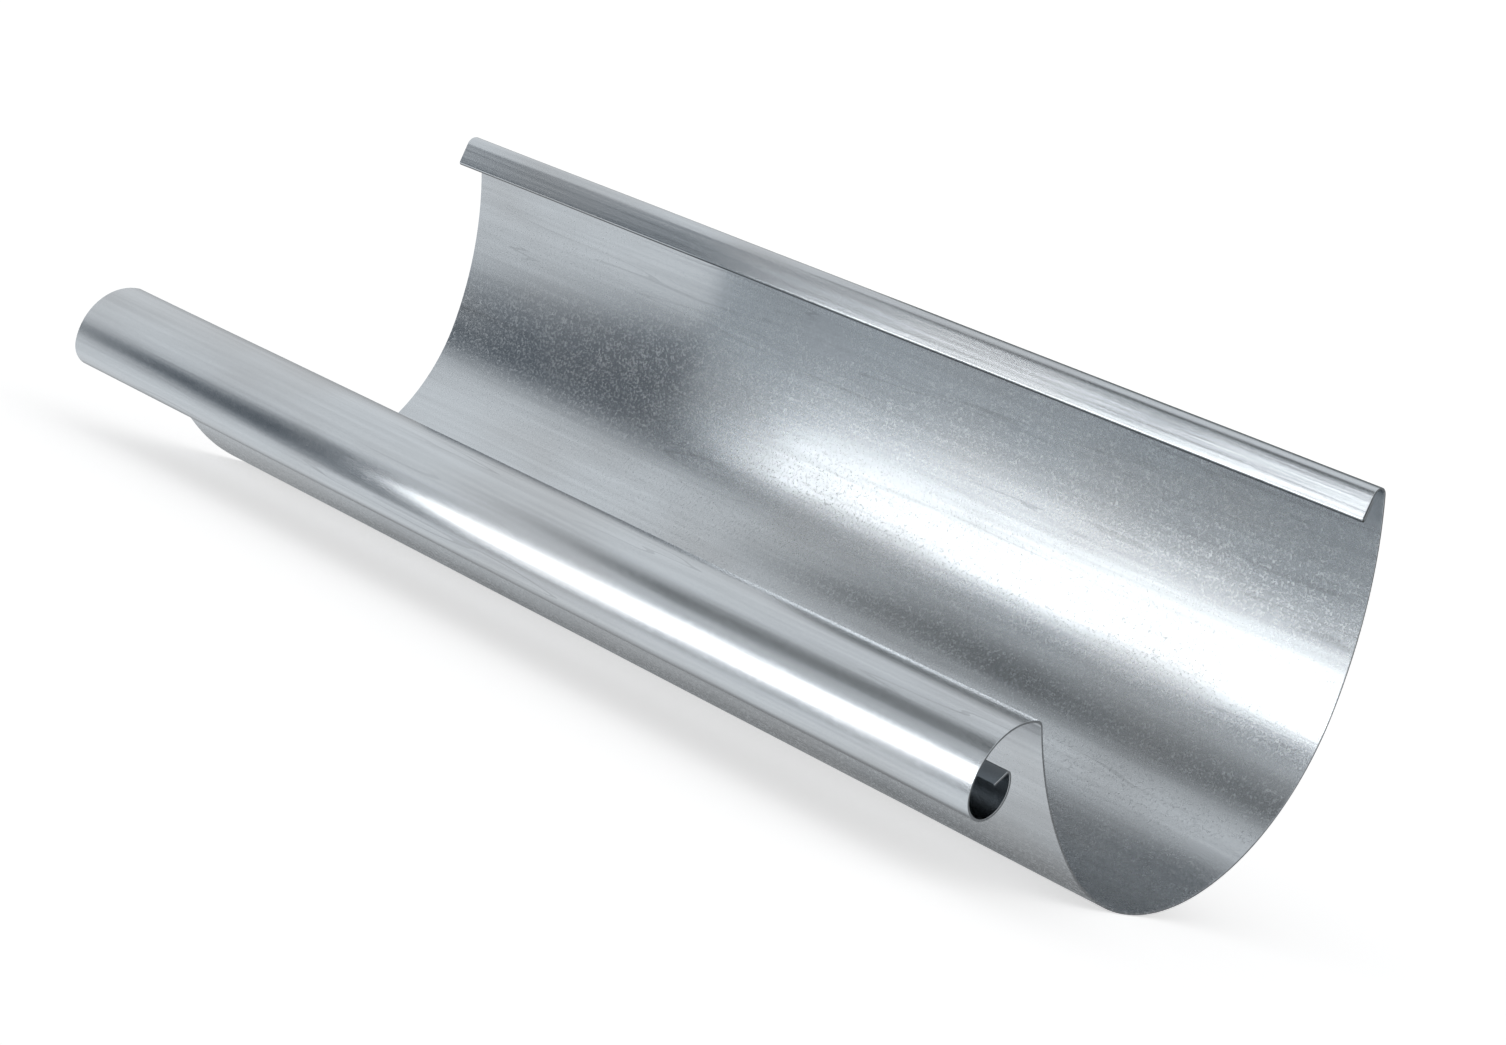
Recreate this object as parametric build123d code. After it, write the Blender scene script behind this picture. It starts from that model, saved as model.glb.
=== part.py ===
from build123d import *
import math
import os

# Half-round roof gutter section, roll-formed from one strip of galvanised steel sheet.
# X runs along the length, +Y toward the back edge with its hem, -Y toward the front bead, Z up.
# The section lies as it comes to rest, rolled on its round bottom until its weight is over the floor line.

# Driving sizes in mm. Radii and lengths are on the middle of the sheet.
LENGTH = 330.0
SHEET = 0.6
MOUTH_WIDTH = 125.0        # clear width between the two walls
TROUGH_RADIUS = 56.5       # round bottom
BACK_WALL = 57.3           # from the round bottom up to the hem
FRONT_WALL = 46.5          # from the round bottom up to the front fold
FOLD_RADIUS = 2.2          # fold where the front wall turns out into the bead
FACE_RADIUS = 15.5         # sloping upper face of the bead
BEAD_RADIUS = 6.8          # round of the bead
TUCK_RADIUS = 0.8          # sharp fold where the bead's edge is tucked in
TUCK_FLAP = 4.2            # flat of the tucked edge
HEM_RADIUS = 2.8           # round on top of the back wall
HEM_FLANGE = 5.8           # flat of the hem, sloping down into the trough
HEM_RETURN = 5.0           # edge of the sheet, folded back under the flange
HEM_SLIT = 0.4             # gap between flange and return

# Driving angles in degrees
TROUGH_HALF_ANGLE = 60.5   # round bottom, each side of its lowest line
HEM_SLOPE = 55.0           # flange below the horizontal
FACE_RISE = 28.0           # bead's face above the horizontal where it leaves the fold
FACE_DROP = 70.0           # bead's face below the horizontal where it meets the round
CURL_LEAN = 12.0           # bead's inner side past the vertical at the tuck
TUCK_SLOPE = 17.0          # tucked flap below the horizontal

# The walls are wide arcs that bring the round bottom out to the mouth width
half_angle_sine = math.sin(math.radians(TROUGH_HALF_ANGLE))
half_mouth = (MOUTH_WIDTH + SHEET) / 2
WALL_RADIUS = (half_mouth - TROUGH_RADIUS * half_angle_sine) / (1 - half_angle_sine)
back_turn = math.degrees(BACK_WALL / WALL_RADIUS)
front_turn = math.degrees(FRONT_WALL / WALL_RADIUS)

# Directions on the way round the section: 0 points to +Y, 90 up, 180 to -Y, 270 down
back_top = 180 + TROUGH_HALF_ANGLE + back_turn
front_top = 180 - TROUGH_HALF_ANGLE - front_turn
flange_up = HEM_SLOPE
return_down = 180 + HEM_SLOPE

# Runs from the sheet's edge in the hem to its edge in the bead: a flat has a length,
# an arc has a radius and the degrees that it turns, to the left when positive
runs = {
    "hem return": (HEM_RETURN,),
    "hem fold": ((SHEET + HEM_SLIT) / 2, flange_up - return_down),
    "hem flange": (HEM_FLANGE,),
    "hem top": (HEM_RADIUS, back_top - 360 - flange_up),
    "back wall": (WALL_RADIUS, -back_turn),
    "round bottom": (TROUGH_RADIUS, -2 * TROUGH_HALF_ANGLE),
    "front wall": (WALL_RADIUS, -front_turn),
    "front fold": (FOLD_RADIUS, 180 - FACE_RISE - front_top),
    "bead face": (FACE_RADIUS, FACE_RISE + FACE_DROP),
    "bead round": (BEAD_RADIUS, 270 + CURL_LEAN - FACE_DROP),
    "tuck": (TUCK_RADIUS, 90 - CURL_LEAN + TUCK_SLOPE),
    "tucked flap": (TUCK_FLAP,),
}


def heading(direction):
    angle = math.radians(direction)
    return Vector(0, math.cos(angle), math.sin(angle))


def bent_sheet():
    """Cross-section of the strip, with the centre of the round bottom at the origin."""
    left_edges = []
    right_edges = []
    at = Vector(0, 0, 0)
    direction = return_down
    for name, run in runs.items():
        if len(run) == 1:
            directions = [direction, direction]
            stops = [at, at + heading(direction) * run[0]]
        else:
            radius = math.copysign(run[0], run[1])
            centre = at + heading(direction + 90) * radius
            directions = [direction, direction + run[1] / 2, direction + run[1]]
            stops = [centre - heading(d + 90) * radius for d in directions]
        if name == "round bottom":
            trough_centre = centre
        for edges, side in ((left_edges, SHEET / 2), (right_edges, -SHEET / 2)):
            points = [stop + heading(d + 90) * side for stop, d in zip(stops, directions)]
            edges.append(Line(*points) if len(points) == 2 else ThreePointArc(*points))
        at = stops[-1]
        direction = directions[-1]
    hem_end = Line(left_edges[0] @ 0, right_edges[0] @ 0)
    bead_end = Line(left_edges[-1] @ 1, right_edges[-1] @ 1)
    section = make_face(left_edges + right_edges + [hem_end, bead_end])
    return section.moved(Location(-trough_centre))


def gutter_section():
    upright = bent_sheet()
    balance = upright.center(CenterOf.MASS)
    rest_roll = math.degrees(math.atan2(-balance.Y, -balance.Z))
    body = extrude(upright.rotate(Axis.X, rest_roll), LENGTH, dir=(1, 0, 0))
    box = body.bounding_box()
    foot = Vector(box.center().X, box.center().Y, box.min.Z)
    print("Wall radius %.2f, strip width %.1f, rest roll %.2f" % (WALL_RADIUS, strip_width(), rest_roll))
    print("Centre of the round bottom at Y %.3f, Z %.3f" % (-foot.Y, -foot.Z))
    return body.moved(Location(-foot))


def strip_width():
    """Width of the flat strip before it is rolled."""
    return sum(run[0] if len(run) == 1 else run[0] * math.radians(abs(run[1])) for run in runs.values())


os.makedirs("parts", exist_ok=True)
export_step(gutter_section(), "parts/gutter_section.step")
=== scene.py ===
import bpy
import math
from mathutils import Matrix, Quaternion, Vector


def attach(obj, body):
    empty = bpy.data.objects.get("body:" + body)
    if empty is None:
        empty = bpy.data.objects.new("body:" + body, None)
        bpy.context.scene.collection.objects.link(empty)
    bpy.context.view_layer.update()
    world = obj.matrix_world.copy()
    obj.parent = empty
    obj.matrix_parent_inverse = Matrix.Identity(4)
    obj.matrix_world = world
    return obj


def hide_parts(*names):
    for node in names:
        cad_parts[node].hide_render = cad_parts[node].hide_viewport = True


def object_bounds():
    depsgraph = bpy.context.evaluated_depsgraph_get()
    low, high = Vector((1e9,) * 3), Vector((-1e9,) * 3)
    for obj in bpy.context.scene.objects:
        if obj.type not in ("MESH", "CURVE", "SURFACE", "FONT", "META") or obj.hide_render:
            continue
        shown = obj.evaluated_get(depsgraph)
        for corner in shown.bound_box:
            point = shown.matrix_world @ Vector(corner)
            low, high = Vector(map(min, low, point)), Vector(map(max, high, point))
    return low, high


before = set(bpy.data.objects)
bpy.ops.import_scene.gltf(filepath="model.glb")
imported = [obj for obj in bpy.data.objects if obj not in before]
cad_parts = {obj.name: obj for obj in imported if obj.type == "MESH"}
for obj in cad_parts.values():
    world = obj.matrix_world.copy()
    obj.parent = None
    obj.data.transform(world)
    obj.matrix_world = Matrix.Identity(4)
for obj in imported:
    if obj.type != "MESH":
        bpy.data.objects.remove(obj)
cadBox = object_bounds()
mm = 0.001


# sRGB hex to the linear colour that sockets take
def toLinear(hexColour):
    parts = [int(hexColour[i:i + 2], 16) / 255 for i in (1, 3, 5)]
    return tuple(c / 12.92 if c <= 0.04045 else ((c + 0.055) / 1.055) ** 2.4 for c in parts) + (1.0,)


# An input that is given a socket is linked to it, and any other is set to the value
def addNode(tree, kind, inputs=None, **settings):
    node = tree.nodes.new("ShaderNode" + kind)
    for name, value in settings.items():
        setattr(node, name, value)
    for name, value in (inputs or {}).items():
        if isinstance(value, bpy.types.NodeSocket):
            tree.links.new(value, node.inputs[name])
        else:
            node.inputs[name].default_value = value
    return node


def startMaterial(name):
    material = bpy.data.materials.new(name)
    material.use_nodes = True
    material.node_tree.nodes.clear()
    return material, material.node_tree


# Directions round the length, in degrees: 0 points to +Y and 90 straight up
def heading(direction):
    angle = math.radians(direction)
    return Vector((0, math.cos(angle), math.sin(angle)))


def applyModifier(piece, kind, **settings):
    bpy.context.view_layer.objects.active = piece
    modifier = piece.modifiers.new(kind.lower(), kind)
    for name, value in settings.items():
        setattr(modifier, name, value)
    bpy.ops.object.modifier_apply(modifier=modifier.name)


view = {
    "place": (542.33, -635.16, 117.19),     # mm
    "looksAlong": (-0.62667, 0.77467, -0.08462),
    "roll": 20.96,                          # degrees: the photo has the mouth level, the part lies rolled
    "lens": 76.97,                          # mm
    "sensor": 36.0,                         # mm
    "clip": (0.02, 60),                     # m
}


def makeCamera(v):
    bpy.ops.object.camera_add(location=Vector(v["place"]) * mm)
    camera = bpy.context.object
    camera.name = "photoCamera"
    camera.data.sensor_width = v["sensor"]
    camera.data.lens = v["lens"]
    camera.data.clip_start, camera.data.clip_end = v["clip"]
    looking = Vector(v["looksAlong"]).to_track_quat("-Z", "Y")
    camera.rotation_mode = "QUATERNION"
    camera.rotation_quaternion = looking @ Quaternion((0, 0, 1), math.radians(v["roll"]))
    bpy.context.scene.camera = camera


# The studio's sizes are in metres and its turns in degrees round the length
studio = {
    "floorSize": 14.0,
    "floorTone": "#F4F5F6",
    "floorFinish": 0.9,
    "floorGlow": 0.65,          # keeps the shadow on the floor as light as the photo's
    "roomOnFloor": 0.42,
    "thrownOnFloor": 0.1,       # share of the room that the metal's underside throws on the floor
    "backdrop": 1.03,
    "roomInMetal": 0.94,
    "roomTone": "#FBFDFF",
    "underTurn": -12.0,         # the metal sees the shade below and behind itself this way
    "underShade": 0.19,
    "underEdge": (0.33, 0.75),  # where that shade starts and is full, as cosines
    "hungRound": (0.01, 0.05),  # Y and Z of the line that the cards hang round
    "cards": {
        "softbox": {            # the long highlights
            "turn": 184.3, "distance": 0.84, "x": (-0.765, -0.142), "width": 0.28,
            "tilt": -14.0, "glow": 5.6, "tone": "#FFFFFF",
        },
        "flag": {               # the dark toward the far end and beside the highlights
            "turn": 185.3, "distance": 1.52, "x": (-1.92, -0.11), "width": 1.46,
            "tilt": -21.0, "glow": 0.08, "tone": "#9CC8F0",
        },
        "upperFlag": {          # the dark below the trough's highlight and along the bead
            "turn": 134.8, "distance": 0.94, "x": (-0.80, -0.21), "width": 0.40,
            "tilt": -22.0, "glow": 0.12, "tone": "#D6DEE2",
        },
        "backFlag": {           # the dark lines along the hem's top and the front fold
            "turn": 37.0, "distance": 0.90, "x": (-0.66, -0.05), "width": 0.80,
            "tilt": 0.0, "glow": 0.18, "tone": "#D6DEE2",
        },
    },
}


# A flat card that faces the gutter and is seen only in the metal
def hangCard(name, c, hungRound):
    left, right = c["x"]
    bpy.ops.mesh.primitive_plane_add(size=1)
    card = bpy.context.object
    card.name = name
    card.data.transform(Matrix.Diagonal((right - left, c["width"], 1, 1)))
    card.data.transform(Matrix.Rotation(math.radians(c["tilt"]), 4, "Z"))
    card.data.transform(Matrix.Rotation(math.radians(c["turn"] + 90), 4, "X"))
    middle = Vector(((left + right) / 2, *hungRound))
    card.data.transform(Matrix.Translation(heading(c["turn"]) * c["distance"] + middle))
    material, tree = startMaterial(name + "Cloth")
    glow = addNode(tree, "Emission", {"Color": toLinear(c["tone"]), "Strength": c["glow"]})
    addNode(tree, "OutputMaterial", {"Surface": glow.outputs[0]})
    card.data.materials.append(material)
    card.visible_camera = card.visible_diffuse = card.visible_shadow = False


def makeStudio(s):
    white = (1, 1, 1, 1)
    bpy.ops.mesh.primitive_plane_add(size=s["floorSize"], location=(0, 0, 0))
    floor = bpy.context.object
    floor.name = "floor"
    material, tree = startMaterial("paleFloor")
    shader = addNode(tree, "BsdfPrincipled", {
        "Base Color": toLinear(s["floorTone"]), "Roughness": s["floorFinish"], "Specular IOR Level": 0.0,
        "Emission Color": white, "Emission Strength": s["floorGlow"],
    })
    addNode(tree, "OutputMaterial", {"Surface": shader.outputs["BSDF"]})
    floor.data.materials.append(material)
    floor.visible_glossy = floor.visible_shadow = False
    for name, card in s["cards"].items():
        hangCard(name, card, s["hungRound"])

    # the metal sees a bright room with one shaded side
    world = bpy.data.worlds.new("studioRoom")
    bpy.context.scene.world = world
    world.use_nodes = True
    tree = world.node_tree
    tree.nodes.clear()
    ray = addNode(tree, "LightPath")
    way = addNode(tree, "TexCoord").outputs["Generated"]
    under = addNode(tree, "VectorMath", {
        0: way, 1: heading(s["underTurn"]),
    }, operation="DOT_PRODUCT").outputs["Value"]
    shadeStart, shadeFull = s["underEdge"]
    shade = addNode(tree, "MapRange", {
        "Value": under, "From Min": shadeStart, "From Max": shadeFull,
        "To Min": s["roomInMetal"], "To Max": s["underShade"],
    }, interpolation_type="SMOOTHSTEP").outputs[0]

    # the metal throws little light back on the floor, whose shadow is darkest beside it
    thrown = addNode(tree, "MapRange", {
        "Value": ray.outputs["Diffuse Depth"], "To Min": 1.0, "To Max": s["thrownOnFloor"],
    }).outputs[0]
    metalGlow = addNode(tree, "Math", {0: shade, 1: thrown}, operation="MULTIPLY").outputs[0]
    metalRoom = addNode(tree, "Background", {"Color": toLinear(s["roomTone"]), "Strength": metalGlow})

    # the floor gets less of the room than the metal shows, and the backdrop is white
    paleness = addNode(tree, "MapRange", {
        "Value": ray.outputs["Is Diffuse Ray"], "To Min": s["backdrop"], "To Max": s["roomOnFloor"],
    }).outputs[0]
    paleRoom = addNode(tree, "Background", {"Color": white, "Strength": paleness})
    room = addNode(tree, "MixShader", {
        0: ray.outputs["Is Glossy Ray"], 1: paleRoom.outputs[0], 2: metalRoom.outputs[0],
    })
    addNode(tree, "OutputWorld", {"Surface": room.outputs[0]})
    world.cycles.sampling_method = "NONE"
    bpy.context.scene.view_settings.view_transform = "Standard"


# The solid's own sizes, in mm and degrees, with radii and lengths on the middle of the sheet
gutter = {
    "length": 330.0,
    "sheet": 0.6,
    "mouthWidth": 125.0,        # clear width between the two walls
    "troughRadius": 56.5,
    "troughHalfAngle": 60.5,
    "backWall": 57.3,
    "frontWall": 46.5,
    "foldRadius": 2.2,
    "faceRadius": 15.5,
    "faceRise": 28.0,
    "faceDrop": 70.0,
    "beadRadius": 6.8,
    "curlLean": 12.0,
    "tuckRadius": 0.8,
    "tuckSlope": 17.0,
    "tuckFlap": 4.2,
    "hemRadius": 2.8,
    "hemSlope": 55.0,
    "hemFlange": 5.8,
    "hemReturn": 5.0,
    "hemSlit": 0.4,
    "restRoll": 30.27,          # toward the bead, until its weight is over the floor line
    # what only the render has
    "lengthCuts": 110,          # faces along the length
    "widthPerFace": 2.4,        # mm, on the wide arcs and the flats
    "turnPerFace": 6.0,         # degrees, on the small bends
    "smallBend": 20.0,          # mm, radius under which a bend counts as small
    "wanderHeight": 0.05,       # mm, how far rolled sheet wanders from true
    "wanderLength": 45.0,       # mm
    "edgeBreak": 0.06,          # mm, burr rubbed off the cut edges
    "edgeFaces": 2,             # faces across each broken edge
    "edgeTurn": 60.0,           # degrees, the least that an edge turns to be broken
    "smoothTurn": 18.0,         # degrees, less than each face of the broken edges turns, so they stay crisp
    "weld": 0.002,              # mm, corners closer than this become one
}


# The bends and flats from the hem's edge to the bead's: a flat is (length, 0), a bend is (radius, turn)
def gutterRuns(g):
    sine = math.sin(math.radians(g["troughHalfAngle"]))
    wallRadius = ((g["mouthWidth"] + g["sheet"]) / 2 - g["troughRadius"] * sine) / (1 - sine)
    backTurn = math.degrees(g["backWall"] / wallRadius)
    frontTurn = math.degrees(g["frontWall"] / wallRadius)
    return [
        (g["hemReturn"], 0),
        ((g["sheet"] + g["hemSlit"]) / 2, -180),
        (g["hemFlange"], 0),
        (g["hemRadius"], g["troughHalfAngle"] + backTurn - 180 - g["hemSlope"]),
        (wallRadius, -backTurn),
        (g["troughRadius"], -2 * g["troughHalfAngle"]),
        (wallRadius, -frontTurn),
        (g["foldRadius"], g["troughHalfAngle"] + frontTurn - g["faceRise"]),
        (g["faceRadius"], g["faceRise"] + g["faceDrop"]),
        (g["beadRadius"], 270 + g["curlLean"] - g["faceDrop"]),
        (g["tuckRadius"], 90 - g["curlLean"] + g["tuckSlope"]),
        (g["tuckFlap"], 0),
    ]


# Starts with the strip of the hem's return and bends the rest on, run after run, as the rolls do
def bendSheet(g):
    bpy.ops.object.select_all(action="DESELECT")
    direction = 180 + g["hemSlope"]
    (startLength, _), *laterRuns = gutterRuns(g)
    bpy.ops.mesh.primitive_grid_add(x_subdivisions=g["lengthCuts"], y_subdivisions=2, size=1)
    sheet = bpy.context.object
    sheet.name = "gutterSheet"
    bpy.ops.object.mode_set(mode="EDIT")
    bpy.ops.transform.resize(value=(g["length"] * mm, startLength * mm, 1))
    bpy.ops.object.mode_set(mode="OBJECT")
    sheet.data.transform(Matrix.Rotation(math.radians(direction), 4, "X"))
    at = heading(direction) * startLength * mm / 2

    # the edges along the strip's leading side are what every bend is spun from
    bpy.ops.object.mode_set(mode="EDIT")
    bpy.ops.mesh.select_all(action="DESELECT")
    bpy.ops.mesh.select_mode(type="VERT")
    bpy.ops.object.mode_set(mode="OBJECT")
    justBehind = -0.001 * mm
    for vertex in sheet.data.vertices:
        vertex.select = (vertex.co - at).dot(heading(direction)) > justBehind
    bpy.ops.object.mode_set(mode="EDIT")
    bpy.ops.mesh.select_mode(type="EDGE")
    for size, turn in laterRuns:
        if turn == 0:
            steps = math.ceil(size / g["widthPerFace"])
            for _ in range(steps):
                onward = heading(direction) * size / steps * mm
                bpy.ops.mesh.extrude_region_move(TRANSFORM_OT_translate={"value": onward})
            at += heading(direction) * size * mm
        else:
            faces = size * math.radians(abs(turn)) / g["widthPerFace"]
            if size < g["smallBend"]:
                faces = max(faces, abs(turn) / g["turnPerFace"])
            side = math.copysign(size, turn) * mm
            centre = at + heading(direction + 90) * side
            # spin counts clockwise as positive
            bpy.ops.mesh.spin(steps=math.ceil(faces), angle=-math.radians(turn), center=centre, axis=(1, 0, 0))
            at = centre - heading(direction + turn + 90) * side
            direction += turn
    bpy.ops.object.mode_set(mode="OBJECT")
    print("sheet bent,", len(sheet.data.polygons), "faces, edge at", [round(v / mm, 2) for v in at])
    return sheet


# Lines that the rolls marked, hardest first: each one's place over Y and Z and its reach, in mm, and how hard;
# the hem's lower fold, above the hardest, gets painted shade
rolledLines = {
    "hemFoldShade": {"place": (46.6, 104.0), "reach": 0.7, "wear": 2.0},     # painted shade in the hem's lower fold, not wear
    "hem": {"place": (49.0, 108.7), "reach": 7.0, "wear": 1.0},
    "bead": {"place": (-60.0, 28.0), "reach": 15.0, "wear": 0.4},       # with the front fold
}


def rollWearAndFoldShade(point):
    for line in rolledLines.values():
        y, z = line["place"]
        if math.hypot(point.y - y * mm, point.z - z * mm) < line["reach"] * mm:
            return line["wear"]
    return 0.0


def makeGutter(g):
    sheet = bendSheet(g)
    bpy.ops.object.mode_set(mode="EDIT")
    bpy.ops.mesh.select_all(action="SELECT")
    bpy.ops.mesh.remove_doubles(threshold=g["weld"] * mm)
    bpy.ops.mesh.normals_make_consistent(inside=False)
    bpy.ops.object.mode_set(mode="OBJECT")

    # rolled sheet is never quite true, which is what makes its reflections waver
    wander = bpy.data.textures.new("sheetWander", "CLOUDS")
    wander.noise_scale = g["wanderLength"] * mm
    wander.noise_depth = 1
    applyModifier(sheet, "DISPLACE", texture=wander, strength=g["wanderHeight"] * mm * 2, texture_coords="LOCAL")
    applyModifier(
        sheet, "SOLIDIFY", thickness=g["sheet"] * mm, offset=0, use_even_offset=True,
        use_quality_normals=True, material_offset_rim=1,
    )

    # laid as it rests, into the solid's own place
    sheet.data.transform(Matrix.Rotation(math.radians(g["restRoll"]), 4, "X"))
    lowest = Vector([min(v.co[i] for v in sheet.data.vertices) for i in range(3)])
    sheet.data.transform(Matrix.Translation(cadBox[0] - lowest))
    applyModifier(
        sheet, "BEVEL", width=g["edgeBreak"] * mm, segments=g["edgeFaces"], limit_method="ANGLE",
        angle_limit=math.radians(g["edgeTurn"]), harden_normals=False,
    )
    bpy.ops.object.select_all(action="DESELECT")
    sheet.select_set(True)
    bpy.ops.object.shade_smooth_by_angle(angle=math.radians(g["smoothTurn"]))

    # how hard the rolls worked each point, and at the hem's lower fold a higher value that marks painted shade
    wear = sheet.data.attributes.new("rollWearAndFoldShade", "FLOAT", "POINT")
    for i, vertex in enumerate(sheet.data.vertices):
        wear.data[i].value = rollWearAndFoldShade(vertex.co)
    print("sheet thickened and laid down,", len(sheet.data.polygons), "faces")
    return sheet


# Hot-dip galvanised steel, its spangle rolled down to almost nothing: cool grey zinc that is half bright,
# with a fine curly grain, roll marks along the strip, light rubs and handling smudges, and painted shade in the
# hem's fold
zinc = {
    "tone": "#C4C9CD",
    "worn": "#B2B3B4",          # where it has been handled and rubbed
    "alongFinish": 0.13,        # roughness along the strip
    "acrossFinish": 0.32,       # roughness across the roll marks
    # grain, flattened where the rolls worked hard
    "curlSize": 1.05,           # mm, drawn half as coarse again as the real grain so that it shows
    "curlTwist": 1.2,
    "curlLine": 0.035,          # how thick a contour line of the noise is drawn
    "curlBreaks": 1.2,          # times finer than the curls, the noise that cuts them short
    "curlLight": 0.07,          # how much lighter the curls are than the sheet between them
    "curlFinish": 0.09,         # how much rougher they are
    "curlHeight": 0.5,          # share of the specks' height that the curls stand over them
    "specks": 2.6,              # times finer than the curls
    "speckHeight": 0.0025,      # mm, over the whole range of the noise
    "speckShade": (0.97, 1.02),
    "flatWear": 0.4,            # wear from which the grain is as flat as it gets
    "flatShare": 0.3,           # what is left of it there
    # roll marks and the wide low waves from the forming rolls
    "rollMarkLength": 60.0,     # mm
    "rollMarkWidth": 1.5,       # mm, twice as coarse as the real ones
    "rollMarkHeight": 0.045,    # mm, on the hem
    "rollMarkShade": (0.93, 1.05),
    "leastMarked": 0.15,        # share of the marks' height on sheet that the rolls hardly worked
    "waveLength": 350.0,        # mm
    "waveWidth": 11.0,          # mm
    "waveHeight": 0.09,         # mm over the whole range of the noise, of which little more than a third is met
    # hair scratches, on the crests of the waves
    "scratchLength": 160.0,     # mm
    "scratchSpace": 7.0,        # mm, room that each scratch has
    "scratchLine": 0.006,       # how thick a contour line of the noise is drawn
    "scratchDark": 0.16,
    "crest": (0.5, 0.6),        # where a wave's crest starts and is full
    # smudges, and painted shade in the hem's lower fold
    "smudgeSize": 28.0,         # mm, and twice as long
    "smudgeEdge": (0.4, 0.75),  # where a smudge starts and is full
    "smudgeShare": 0.5,         # of the worn tone, at most
    "smudgeFinish": (-0.025, 0.03),     # how much smoother and rougher smudges are
    "paintedShadeWear": (1.0, 2.0),     # wear at which the painted shade in the hem's fold starts and is darkest
    "paintedShadeDepth": 0.25,          # how dark that painted shade is
}


# Scale over X, Y and Z of a pattern that is drawn out along the strip, from its length and width in mm
def drawnOut(length, width):
    return (1 / mm / length, 1 / mm / width, 1 / mm / width)


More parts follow.
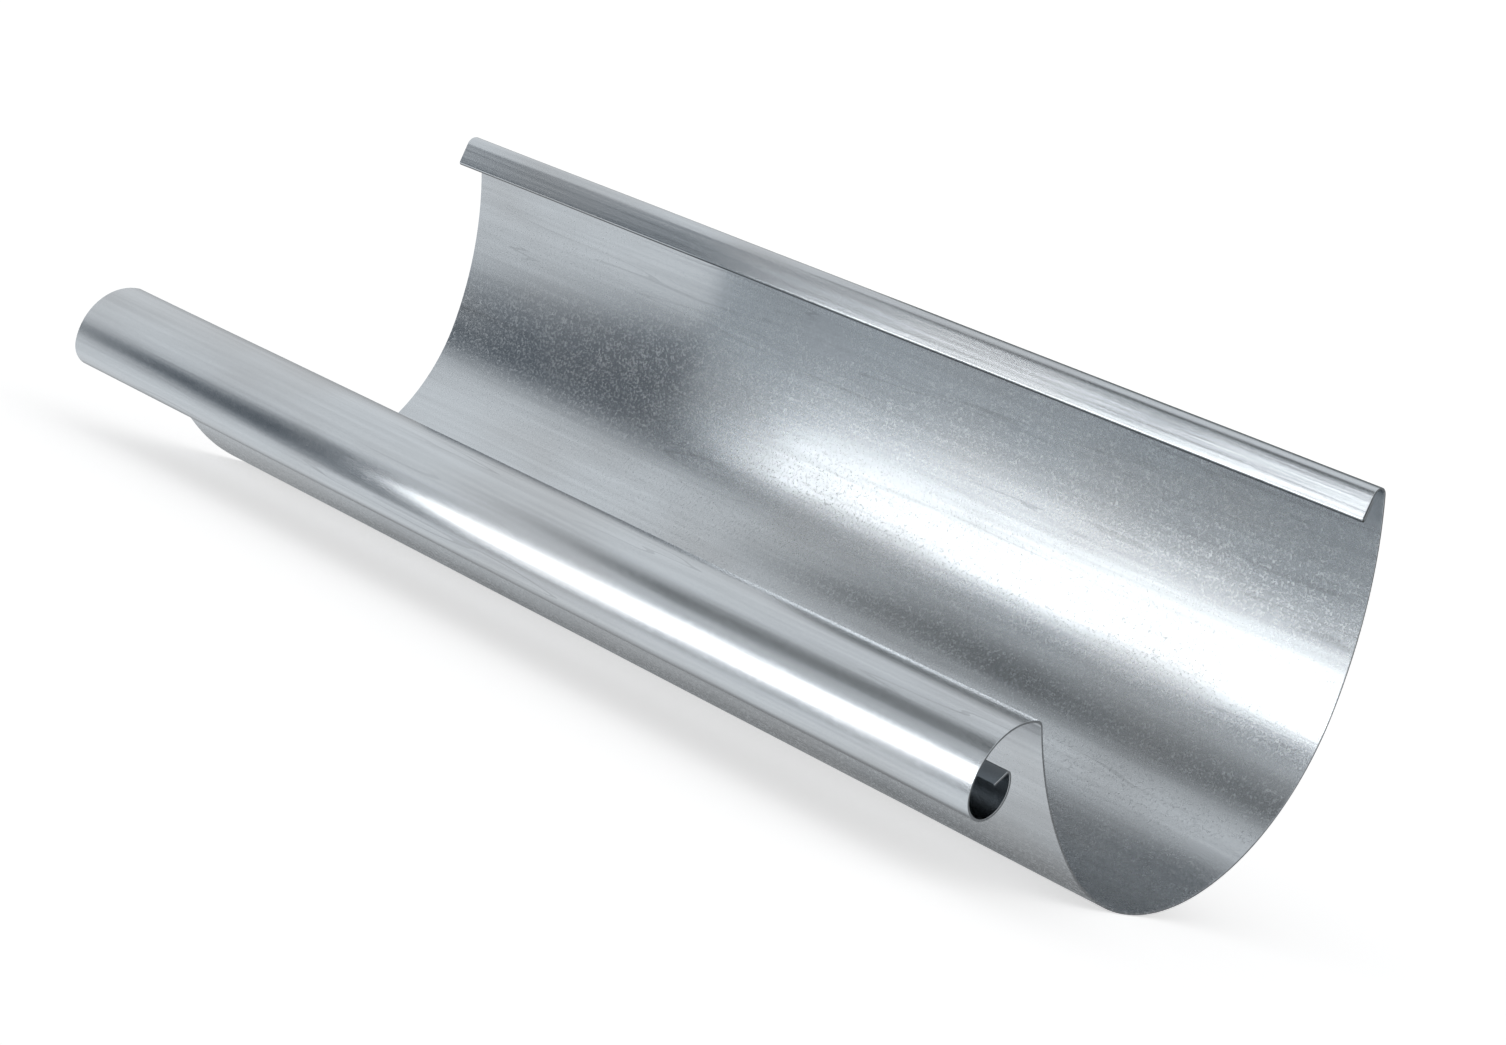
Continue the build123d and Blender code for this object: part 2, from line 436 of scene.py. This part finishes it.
def galvanisedSheet(z):
    material, tree = startMaterial("galvanisedSheet")
    place = addNode(tree, "TexCoord").outputs["Object"]
    # wear from the rolls; past the hardest wear it marks the painted shade in the hem's fold
    wear = addNode(tree, "Attribute", attribute_name="rollWearAndFoldShade").outputs["Fac"]
    middle = 0.5                # of every noise
    low, high = 0.3, 0.7        # nearly all of a noise lies between these

    # curls of the zinc grain: the thin contour lines of a twisted noise, cut short by a second one
    curlScale = 1 / mm / z["curlSize"]
    grain = addNode(tree, "TexNoise", {
        "Vector": place, "Scale": curlScale, "Detail": 1.0, "Distortion": z["curlTwist"],
    }).outputs["Fac"]
    lines = addNode(tree, "Math", {0: grain, 1: middle, 2: z["curlLine"]}, operation="COMPARE").outputs[0]
    breaks = addNode(tree, "TexNoise", {
        "Vector": place, "Scale": curlScale * z["curlBreaks"], "Detail": 0.0,
    }).outputs["Fac"]
    kept = addNode(tree, "Math", {0: breaks, 1: middle}, operation="GREATER_THAN").outputs[0]
    raised = addNode(tree, "Math", {0: lines, 1: kept}, operation="MULTIPLY").outputs[0]
    flattened = addNode(tree, "MapRange", {
        "Value": wear, "From Max": z["flatWear"], "To Min": 1.0, "To Max": z["flatShare"],
    }).outputs[0]
    curls = addNode(tree, "Math", {0: raised, 1: flattened}, operation="MULTIPLY").outputs[0]
    specks = addNode(tree, "TexNoise", {
        "Vector": place, "Scale": curlScale * z["specks"], "Detail": 1.0,
    }).outputs["Fac"]

    # roll marks run the length of the strip, over wide low waves from the forming rolls
    narrow = addNode(tree, "Mapping", {
        "Vector": place, "Scale": drawnOut(z["rollMarkLength"], z["rollMarkWidth"]),
    }).outputs[0]
    rollMarks = addNode(tree, "TexNoise", {
        "Vector": narrow, "Scale": 1.0, "Detail": 1.5, "Roughness": 0.6,
    }).outputs["Fac"]
    wide = addNode(tree, "Mapping", {
        "Vector": place, "Scale": drawnOut(z["waveLength"], z["waveWidth"]),
    }).outputs[0]
    waves = addNode(tree, "TexNoise", {"Vector": wide, "Scale": 1.0, "Detail": 1.0}).outputs["Fac"]

    # long hair scratches: thin contour lines of a drawn-out noise, on the crests of the waves
    hair = addNode(tree, "Mapping", {
        "Vector": place, "Scale": drawnOut(z["scratchLength"], z["scratchSpace"]),
    }).outputs[0]
    streaks = addNode(tree, "TexNoise", {"Vector": hair, "Scale": 1.0, "Detail": 2.0}).outputs["Fac"]
    hairLines = addNode(tree, "Math", {
        0: streaks, 1: middle, 2: z["scratchLine"],
    }, operation="COMPARE").outputs[0]
    crestStart, crestFull = z["crest"]
    crests = addNode(tree, "MapRange", {
        "Value": waves, "From Min": crestStart, "From Max": crestFull,
    }, interpolation_type="SMOOTHSTEP").outputs[0]
    scratches = addNode(tree, "Math", {0: hairLines, 1: crests}, operation="MULTIPLY").outputs[0]

    rubbed = addNode(tree, "Mapping", {
        "Vector": place, "Scale": drawnOut(2 * z["smudgeSize"], z["smudgeSize"]),
    }).outputs[0]
    smudges = addNode(tree, "TexNoise", {
        "Vector": rubbed, "Scale": 1.0, "Detail": 2.0, "Roughness": 0.4,
    }).outputs["Fac"]

    # colour: toward the worn tone in the smudges, then darker or lighter with each kind of mark, and darker with
    # painted shade in the hem's lower fold
    smudgeStart, smudgeFull = z["smudgeEdge"]
    worn = addNode(tree, "MapRange", {
        "Value": smudges, "From Min": smudgeStart, "From Max": smudgeFull, "To Max": z["smudgeShare"],
    }, interpolation_type="SMOOTHSTEP").outputs[0]
    tone = addNode(tree, "Mix", {
        "Factor": worn, "A": toLinear(z["tone"]), "B": toLinear(z["worn"]),
    }, data_type="RGBA").outputs["Result"]
    darkMark, lightMark = z["rollMarkShade"]
    marked = addNode(tree, "MapRange", {
        "Value": rollMarks, "From Min": low, "From Max": high, "To Min": darkMark, "To Max": lightMark,
    }).outputs[0]
    scratched = addNode(tree, "Math", {
        0: scratches, 1: -z["scratchDark"], 2: marked,
    }, operation="MULTIPLY_ADD").outputs[0]
    darkSpeck, lightSpeck = z["speckShade"]
    grained = addNode(tree, "MapRange", {
        "Value": specks, "From Min": low, "From Max": high, "To Min": darkSpeck, "To Max": lightSpeck,
    }).outputs[0]
    curled = addNode(tree, "Math", {
        0: curls, 1: z["curlLight"], 2: grained,
    }, operation="MULTIPLY_ADD").outputs[0]
    # painted shade: the hem's lower fold darkened in colour
    paintedShadeFrom, paintedShadeTo = z["paintedShadeWear"]
    paintedFoldShade = addNode(tree, "MapRange", {
        "Value": wear, "From Min": paintedShadeFrom, "From Max": paintedShadeTo, "To Min": 1.0, "To Max": z["paintedShadeDepth"],
    }).outputs[0]
    cleanShade = addNode(tree, "Math", {0: scratched, 1: curled}, operation="MULTIPLY").outputs[0]
    shade = addNode(tree, "Math", {0: cleanShade, 1: paintedFoldShade}, operation="MULTIPLY").outputs[0]
    colour = addNode(tree, "VectorMath", {0: tone, "Scale": shade}, operation="SCALE").outputs[0]

    # finish: the shader's one roughness and its pull along the strip, from the two in the settings
    alongSpread, acrossSpread = z["alongFinish"] ** 2, z["acrossFinish"] ** 2
    evenFinish = (alongSpread * acrossSpread) ** 0.25
    shaderPull = 0.9            # in the shader, along is to across as 1 - shaderPull * pull is to 1
    pull = (1 - alongSpread / acrossSpread) / shaderPull
    smoother, rougher = z["smudgeFinish"]
    smeared = addNode(tree, "MapRange", {
        "Value": smudges, "From Min": low, "From Max": high,
        "To Min": evenFinish + smoother, "To Max": evenFinish + rougher,
    }).outputs[0]
    finish = addNode(tree, "Math", {
        0: curls, 1: z["curlFinish"], 2: smeared,
    }, operation="MULTIPLY_ADD").outputs[0]
    normal = addNode(tree, "NewGeometry").outputs["Normal"]
    across = addNode(tree, "VectorMath", {
        0: normal, 1: (1, 0, 0),
    }, operation="CROSS_PRODUCT").outputs[0]

    # relief: roll marks as deep as the sheet was worked, the waves under them and the grain over them
    worked = addNode(tree, "Math", {
        0: wear, 1: 1 - z["leastMarked"], 2: z["leastMarked"],
    }, operation="MULTIPLY_ADD").outputs[0]
    markHeight = addNode(tree, "Math", {0: rollMarks, 1: worked}, operation="MULTIPLY").outputs[0]
    rolledHeight = addNode(tree, "Math", {
        0: waves, 1: z["waveHeight"] / z["rollMarkHeight"], 2: markHeight,
    }, operation="MULTIPLY_ADD").outputs[0]
    rolled = addNode(tree, "Bump", {
        "Height": rolledHeight, "Strength": 1.0, "Distance": z["rollMarkHeight"] * mm,
    }).outputs[0]
    grainHeight = addNode(tree, "Math", {
        0: curls, 1: z["curlHeight"], 2: specks,
    }, operation="MULTIPLY_ADD").outputs[0]
    relief = addNode(tree, "Bump", {
        "Height": grainHeight, "Normal": rolled, "Strength": flattened, "Distance": z["speckHeight"] * mm,
    }).outputs[0]
    shader = addNode(tree, "BsdfPrincipled", {
        "Base Color": colour, "Metallic": 1.0, "Roughness": finish,
        "Anisotropic": pull, "Normal": relief, "Tangent": across,
    })
    addNode(tree, "OutputMaterial", {"Surface": shader.outputs["BSDF"]})
    return material


# Sheared steel with a smear of zinc over it: thin, brownish grey and duller than the sheet
shearedSteel = {
    "tone": "#6A6560",
    "smeared": "#938D87",
    "smearSize": 5 / 3,         # mm
    "metallic": 0.9,
    "finish": 0.45,
}


def cutEdge(e):
    material, tree = startMaterial("cutEdge")
    place = addNode(tree, "TexCoord").outputs["Object"]
    smear = addNode(tree, "TexNoise", {
        "Vector": place, "Scale": 1 / mm / e["smearSize"], "Detail": 3.0,
    }).outputs["Fac"]
    tone = addNode(tree, "Mix", {
        "Factor": smear, "A": toLinear(e["tone"]), "B": toLinear(e["smeared"]),
    }, data_type="RGBA").outputs["Result"]
    shader = addNode(tree, "BsdfPrincipled", {
        "Base Color": tone, "Metallic": e["metallic"], "Roughness": e["finish"],
    })
    addNode(tree, "OutputMaterial", {"Surface": shader.outputs["BSDF"]})
    return material


makeCamera(view)
makeStudio(studio)
print("camera and studio in place")
sheet = makeGutter(gutter)
sheet.data.materials.append(galvanisedSheet(zinc))
sheet.data.materials.append(cutEdge(shearedSteel))
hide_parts("gutter_section")
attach(sheet, "root")
print("gutter dressed")
